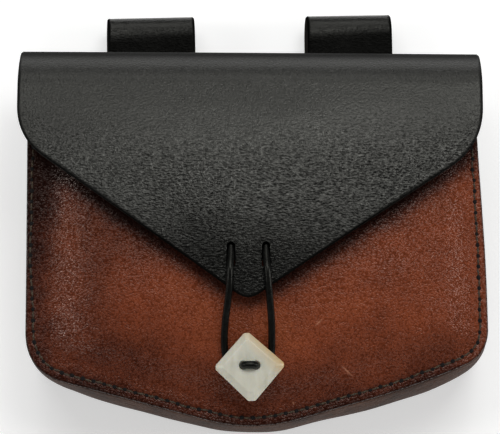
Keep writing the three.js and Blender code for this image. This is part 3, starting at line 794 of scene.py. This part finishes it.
# The middle of the strap as (y, z), from its front end over the roll to its rear end.
strap_middle = np.array(
    [(y, loop_front_z) for y in np.linspace(strap_end_y, roll_centre_y, 40)[:-1]]
    + [(roll_centre_y + roll_reach * math.sin(a), loop_front_z - roll_depth * (1 - math.cos(a)))
       for a in np.linspace(0, math.pi, 40)]
    + [(y, loop_rear_z) for y in np.linspace(roll_centre_y, strap_flat_end_y, 16)[1:]]
    + [(strap_flat_end_y + s * (strap_sewn_y - strap_flat_end_y),
        loop_rear_z + (sewn_rear_z - loop_rear_z) * smoothstep(s, 0, 1))
       for s in np.linspace(0, 1, 16)[1:]]
    + [(y, sewn_rear_z) for y in np.linspace(strap_sewn_y, strap_end_y, 10)[1:]]
)
strap_side = left_of(strap_middle)
depth_share = (strap_middle[:, 1] - loop_front_z) / (loop_rear_z - loop_front_z)
count = len(strap_middle)
from_ends = np.minimum(np.arange(count), np.arange(count)[::-1]) * 1.2
across = crowded(28)


def turned_loop(loop, x, y, z):
    """Points of a loop in the pouch's millimetres, from its own x and y."""
    turned = math.radians(loop["turn"])
    return np.stack(np.broadcast_arrays(
        loop["x"] + math.cos(turned) * x - math.sin(turned) * y,
        loop["raise"] + math.sin(turned) * x + math.cos(turned) * y, z), axis=-1)


# The front layer is wrinkled where it goes down behind the fold, and its shine is turned
# down there as painted shade, where the fold shades it.
for loop in loops:
    x = (0.5 - across)[None, :] * loop["width"]
    cut = np.minimum(loop["width"] / 2 - np.abs(x), from_ends[:, None])
    half = strap_leather / 2 - worn_edge(cut, cut_radius)
    shifted = x - askew * depth_share[:, None]
    tucked = smoothstep(tucked_slant * x - strap_middle[:, :1], -tucked_from, -tucked_by)
    faces = [turned_loop(loop, shifted, strap_middle[:, :1] + sign * strap_side[:, :1] * half,
                         strap_middle[:, 1:] + sign * strap_side[:, 1:] * half)
             for sign in (1, -1)]
    strap = leather_shell(loop["name"] + "_strap", *faces, edge_mm=cut,
                          wrinkled=0.1 + 0.6 * tucked, polished=1 - 0.2 * tucked,
                          dry=0.66 * tucked)
    dress(strap, black_cowhide)
    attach(strap, "root")
    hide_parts(loop["name"])

# ----------------
# Stitching: thick waxed linen thread in saddle stitch, from one pricked hole to the next,
# along the sides and bottom of the front and the back, and round the loops' sewn ends.

# Waxed linen thread: dark olive-brown, two plies twisted, with pale flecks of fibre.
waxed_linen, tree, shader, place = start_finish(
    "waxed_linen_thread", IOR=1.5, Roughness=0.5, Specular_IOR_Level=0.3)
fibres = add(tree, "TexNoise", {"Vector": place, "Scale": 2400, "Detail": 3})
dye = add(tree, "ValToRGB", {"Fac": fibres}, stops=[
    (0.35, "#231b12"), (0.55, "#403426"), (0.75, "#73644c")])
bump = add(tree, "Bump", {"Strength": 0.6, "Distance": 0.1 * MM, "Height": fibres})
feed(shader, {"Base Color": dye, "Normal": bump})

# Pricked hole: painted shade inside a hole, nearly black.
painted_hole_shade, tree, shader, place = start_finish("painted_hole_shade", IOR=1.4, Roughness=0.9)
depth = add(tree, "TexNoise", {"Vector": place, "Scale": 2000, "Detail": 1})
dye = add(tree, "ValToRGB", {"Fac": depth}, stops=[(0.3, "#040202"), (0.8, "#0a0605")])
feed(shader, {"Base Color": dye})

stitch = {"Thread Radius": 0.5 * MM, "Thread Flatness": 0.7, "Thread Lift": 0.26 * MM,
          "Hole Radius": 0.88 * MM, "Pitch": stitch_pitch * MM, "Seed": 0,
          "Thread": waxed_linen, "Hole": painted_hole_shade}

# Along a line of pricked holes: a strand from each hole to the next, and the holes. There
# is none across a gap longer than a stitch, and each strand leans a little.
longest_share, shortest = 1.6, 0.0005
leans = (0.1, 0.05, 0.09)
strand_points = ((0.13, -1.0), (0.5, 2.4), (0.87, -1.0))
twist_turn = 6.0
saddle_stitch = tree = bpy.data.node_groups.new("saddle_stitch", "GeometryNodeTree")
kinds = {float: "Float", int: "Int", bpy.types.Material: "Material"}
for in_out in ("INPUT", "OUTPUT"):
    tree.interface.new_socket("Geometry", in_out=in_out, socket_type="NodeSocketGeometry")
for name, value in stitch.items():
    tree.interface.new_socket(name, in_out="INPUT", socket_type="NodeSocket" + kinds[type(value)])
given = add(tree, "GroupInput").outputs

# From each hole to the next: how long the stitch is, and which way it points.
here = add(tree, "InputPosition")
following = add(tree, "Math", (add(tree, "InputIndex"), 1.0), "ADD")
ahead = add(tree, "FieldAtIndex", {"Index": following, "Value": here}, data_type="FLOAT_VECTOR")
span = add(tree, "VectorMath", (ahead, here), "SUBTRACT")
length = add(tree, "VectorMath", (span,), "LENGTH")
longest = add(tree, "Math", (given["Pitch"], longest_share), "MULTIPLY")
sewn_on = add(tree, "BooleanMath", (
    add(tree, "Compare", (length, shortest), "GREATER_THAN"),
    add(tree, "Compare", (length, longest), "LESS_THAN")), "AND")
up = add(tree, "InputNamedAttribute", {"Name": "up"}, data_type="FLOAT_VECTOR")
aimed = add(tree, "AlignRotationToVector", {"Vector": span}, axis="X")
stood = add(tree, "AlignRotationToVector", {"Rotation": aimed, "Vector": up},
            axis="Z", pivot_axis="X")
lean = add(tree, "RandomValue", {
    0: tuple(-angle for angle in leans), 1: leans, "Seed": given["Seed"]},
    data_type="FLOAT_VECTOR")
leaned = add(tree, "RotateRotation", (
    stood, add(tree, "EulerToRotation", (lean,))), rotation_space="LOCAL")

# The strand: up out of one hole and down into the next, as a flattened, twisted tube.
ends = [add(tree, "CombineXYZ", {
    "X": add(tree, "Math", (given["Pitch"], along), "MULTIPLY"),
    "Z": add(tree, "Math", (given["Thread Lift"], lift), "MULTIPLY"),
}) for along, lift in strand_points]
arc = add(tree, "CurveQuadraticBezier", {
    "Resolution": 8, "Start": ends[0], "Middle": ends[1], "End": ends[2]})
twist = add(tree, "Math", (add(tree, "SplineParameter"), twist_turn), "MULTIPLY")
arc = add(tree, "SetCurveTilt", {"Curve": arc, "Tilt": twist})
ring = add(tree, "CurvePrimitiveCircle", {"Resolution": 6, "Radius": given["Thread Radius"]})
flat = add(tree, "CombineXYZ", (1.0, given["Thread Flatness"], 1.0))
plies = add(tree, "Transform", {"Geometry": ring, "Scale": flat})
strand = add(tree, "CurveToMesh", {"Curve": arc, "Profile Curve": plies, "Fill Caps": True})
strand = add(tree, "SetShadeSmooth", {"Geometry": strand})
stretch = add(tree, "Math", (length, given["Pitch"]), "DIVIDE")
strands = add(tree, "InstanceOnPoints", {
    "Points": given["Geometry"], "Selection": sewn_on, "Instance": strand, "Rotation": leaned,
    "Scale": add(tree, "CombineXYZ", (stretch, 1.0, 1.0))})

# The hole: a flattened pit, half sunk in the leather, nearly black as painted shade.
pit = add(tree, "MeshUVSphere", {"Segments": 9, "Rings": 5, "Radius": given["Hole Radius"]})
pit = add(tree, "Transform", {"Geometry": pit, "Scale": (1.0, 0.85, 0.6)})
pit = add(tree, "SetShadeSmooth", {"Geometry": pit})
size = add(tree, "RandomValue", {2: 0.85, 3: 1.15, "Seed": given["Seed"]})
pits = add(tree, "InstanceOnPoints", {
    "Points": given["Geometry"], "Instance": pit, "Rotation": stood, "Scale": size})
joined = add(tree, "JoinGeometry")
for instances, finish in ((strands, "Thread"), (pits, "Hole")):
    real = add(tree, "RealizeInstances", {"Geometry": instances})
    feed(joined, (add(tree, "SetMaterial", {"Geometry": real, "Material": given[finish]}),))
add(tree, "GroupOutput", (joined,))


def sew(name, holes, ups, seed):
    """Sews through holes in the pouch's millimetres; ups point out of the leather there."""
    line = laid_mesh(name + "_holes", holes, [])
    layer = line.data.attributes.new("up", "FLOAT_VECTOR", "POINT")
    layer.data.foreach_set("vector", laid(ups, directions=True).ravel().astype(np.float32))
    modifier = line.modifiers.new("stitching", "NODES")
    modifier.node_group = saddle_stitch
    sockets = {item.name: item.identifier for item in saddle_stitch.interface.items_tree
               if item.item_type == "SOCKET" and item.in_out == "INPUT"}
    for size, value in (stitch | {"Seed": seed}).items():
        modifier[sockets[size]] = value
    made = placed(name, evaluated_mesh(line))
    bpy.data.objects.remove(line)
    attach(made, "root")


# The front's thread lies in its channel, the back's and the loops' on the surface.
front_sunk, rear_sunk = 0.33, 0.1
front_ups = facing(front_height, seam_holes, 0.4)
front_holes = raised(seam_holes, front_height(seam_holes)) - front_sunk * front_ups
sew("front_stitches", front_holes, front_ups, 7)
sew("back_stitches", raised(seam_holes, rear_sunk), raised(0 * seam_holes, -1), 8)

# A loop is sewn round three sides and across the top, in from its cut edges.
in_from_side, in_from_end, in_from_top, overlap = 3, 2.5, 1, 2
for seed, loop in enumerate(loops):
    reach = loop["width"] / 2 - in_from_side
    low, high = strap_end_y + in_from_end, strap_sewn_y - in_from_top
    box = np.array([(-reach, high), (-reach, low), (reach, low), (reach, high),
                    (-reach + overlap, high)], float)
    holes = spaced(box, stitch_pitch)
    rear_face = sewn_rear_z - strap_leather / 2 + rear_sunk
    sew(loop["name"] + "_stitches", turned_loop(loop, holes[:, 0] - askew, holes[:, 1], rear_face),
        raised(0 * holes, -1), 10 + seed)

# ----------------
# Button: a square sawn from bone, set on its corner, its edges bevelled with a file and
# its corners clipped, then polished, with two drilled holes for the cord.
button_x, button_y, button_underside = -0.1, -120.3, 50.9
button_thickness, button_bevel, button_bevel_width = 4.2, 1.5, 2.2
hole_reach, button_hole = 2.3, 3.0
button_half_side = 9.3
back_ease = (0.5, 0.6)
filed_width = 0.35
# Its corners, from its middle, and how far from each the corner is clipped.
button_corners = [(-1.2, 12.7, 1.3), (-13.1, -0.8, 1.1), (0.9, -14.1, 1.9), (13.1, 0.4, 1.0)]


def button_ring(inset, height):
    """The square with every corner clipped and its sides moved in, at a height."""
    outline = []
    for i, (x, y, clip) in enumerate(button_corners):
        here = np.array([x, y])
        for other in (button_corners[i - 1], button_corners[(i + 1) % 4]):
            clipped = here + clip * unit(np.array(other[:2]) - here)
            outline.append(clipped * (1 - inset / button_half_side))
    return raised(np.array(outline) + [button_x, button_y], button_underside + height)


button = laid_solid("button_bone", [
    button_ring(back_ease[0], 0), button_ring(0, back_ease[1]),
    button_ring(0, button_thickness - button_bevel),
    button_ring(button_bevel_width, button_thickness)])
full_turn = np.linspace(0, 2 * math.pi, 32, endpoint=False)
drilled = np.stack([np.cos(full_turn), np.sin(full_turn)], axis=1) * button_hole / 2
for shift in (-hole_reach, hole_reach):
    punch(button, drilled + [button_x + shift, button_y],
          button_underside - 2, button_underside + button_thickness + 2)
filed = button.modifiers.new("filed", "BEVEL")
filed.width = filed_width * MM
filed.segments = 4
filed.limit_method = "ANGLE"
filed.angle_limit = math.radians(12)
button.data = evaluated_mesh(button)
button.modifiers.clear()
button.data.shade_smooth()
button.data.set_sharp_from_angle(angle=math.radians(35))

# Polished bone: cream white and slightly see-through, amber along one side where it
# was near the marrow, with faint streaks along its length.
polished_bone, tree, shader, place = start_finish(
    "polished_bone", IOR=1.55, Roughness=0.35, Subsurface_Weight=0.3, Subsurface_Scale=0.003,
    Subsurface_Radius=(1.0, 0.7, 0.4))
stretched = add(tree, "Mapping", {"Vector": place, "Scale": (1.0, 0.25, 1.0)})
streaks = add(tree, "TexNoise", {
    "Vector": stretched, "Scale": 300, "Detail": 4, "Distortion": 0.6})
cream = add(tree, "ValToRGB", {"Fac": streaks}, stops=[
    (0.25, "#bebcaa"), (0.5, "#cdcbbb"), (0.75, "#d7d5c7")])
middle = laid([[button_x, button_y, button_underside]])[0]
from_middle = add(tree, "VectorMath", (place, tuple(middle)), "SUBTRACT")
across = add(tree, "VectorMath", (from_middle, (0.75 / MM, 0.66 / MM, 0)), "DOT_PRODUCT")
marrow = weighed(tree, across, (streaks, 4.0))
marrow = add(tree, "MapRange", (marrow, 5.5, 12.0, 0.0, 0.85))
cream = add(tree, "Mix", {0: marrow, 6: cream, 7: linear("#c2a063")}, data_type="RGBA")
bump = add(tree, "Bump", {"Strength": 0.15, "Distance": 0.1 * MM, "Height": streaks})
feed(shader, {"Base Color": cream, "Normal": bump})
dress(button, polished_bone)
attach(button, "root")
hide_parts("button")

# ----------------
# Button cord: a short piece of slightly thicker cord that sews the button on. It comes
# up through the front and the button, crosses over, goes down and is knotted inside.
tie_diameter = 2.9
top_z = button_underside + button_thickness + seam_gap + cord_diameter / 2
inside_z = level_at(front_height, button_x, button_y) - front_leather
rising = [(-0.6 * hole_reach, inside_z - 5), (-hole_reach, inside_z - 1.5),
          (-hole_reach, inside_z + 4), (-hole_reach, top_z - 1.9),
          (-0.72 * hole_reach, top_z - 0.45), (0, top_z)]
falling = [(-x, z) for x, z in reversed(rising[:-1])]
tie_route = [(button_x + x, button_y, z) for x, z in rising + falling]
tie = round_cord("button_cord_round", laid(smooth_line(tie_route)), tie_diameter * MM)
dress(tie, waxed_cord)
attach(tie, "root")
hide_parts("button_cord")

# ----------------
# Floor and light: a sheet of matt white acrylic, lit a little from below, two soft boxes
# beyond the belt side, weaker ones low all round it, and a faint fill from everywhere.
floor_corners = [(-4, -4, 0), (4, -4, 0), (4, 4, 0), (-4, 4, 0)]
floor = placed("floor", bpy.data.meshes.new("floor"))
floor.data.from_pydata(floor_corners, [], [(0, 1, 2, 3)])
matt_acrylic, tree, shader, place = start_finish(
    "matt_acrylic", Base_Color=linear("#e3e3e2"), Roughness=0.9, IOR=1.3,
    Emission_Color=(1, 1, 1, 1), Emission_Strength=0.42)
dress(floor, matt_acrylic)

# Each soft box: azimuth, where 0 is the side of the pouch's bottom edge, elevation,
# distance in metres, width and height in metres, and watts.
soft_boxes = {
    "top_right_softbox": (148, 64, 1.3, (0.5, 0.55), 5.2),
    "top_left_softbox": (-150, 63, 1.3, (0.5, 0.5), 2.8),
    "far_softbox": (180, 29, 1.3, (0.8, 0.6), 2.6),
    "left_softbox": (-90, 35, 1.3, (0.3, 0.4), 2.6),
    "right_softbox": (90, 24, 1.3, (0.4, 0.4), 3.9),
    "near_fill": (0, 15, 1.8, (2.4, 0.4), 7.2),
}
for name, (azimuth, elevation, distance, size, power) in soft_boxes.items():
    a, e = math.radians(azimuth), math.radians(elevation)
    away = Vector((math.sin(a) * math.cos(e), -math.cos(a) * math.cos(e), math.sin(e)))
    light = placed(name, bpy.data.lights.new(name, "AREA"))
    light.data.shape = "RECTANGLE"
    light.data.size, light.data.size_y = size
    light.data.energy = power
    light.location = aim + distance * away
    light.rotation_euler = (-away).to_track_quat("-Z", "Y").to_euler()
world = bpy.data.worlds.new("studio")
world.use_nodes = True
feed(world.node_tree.nodes["Background"], {"Color": (1, 1, 1, 1), "Strength": 0.17})
bpy.context.scene.world = world
bpy.context.scene.view_settings.view_transform = "Standard"
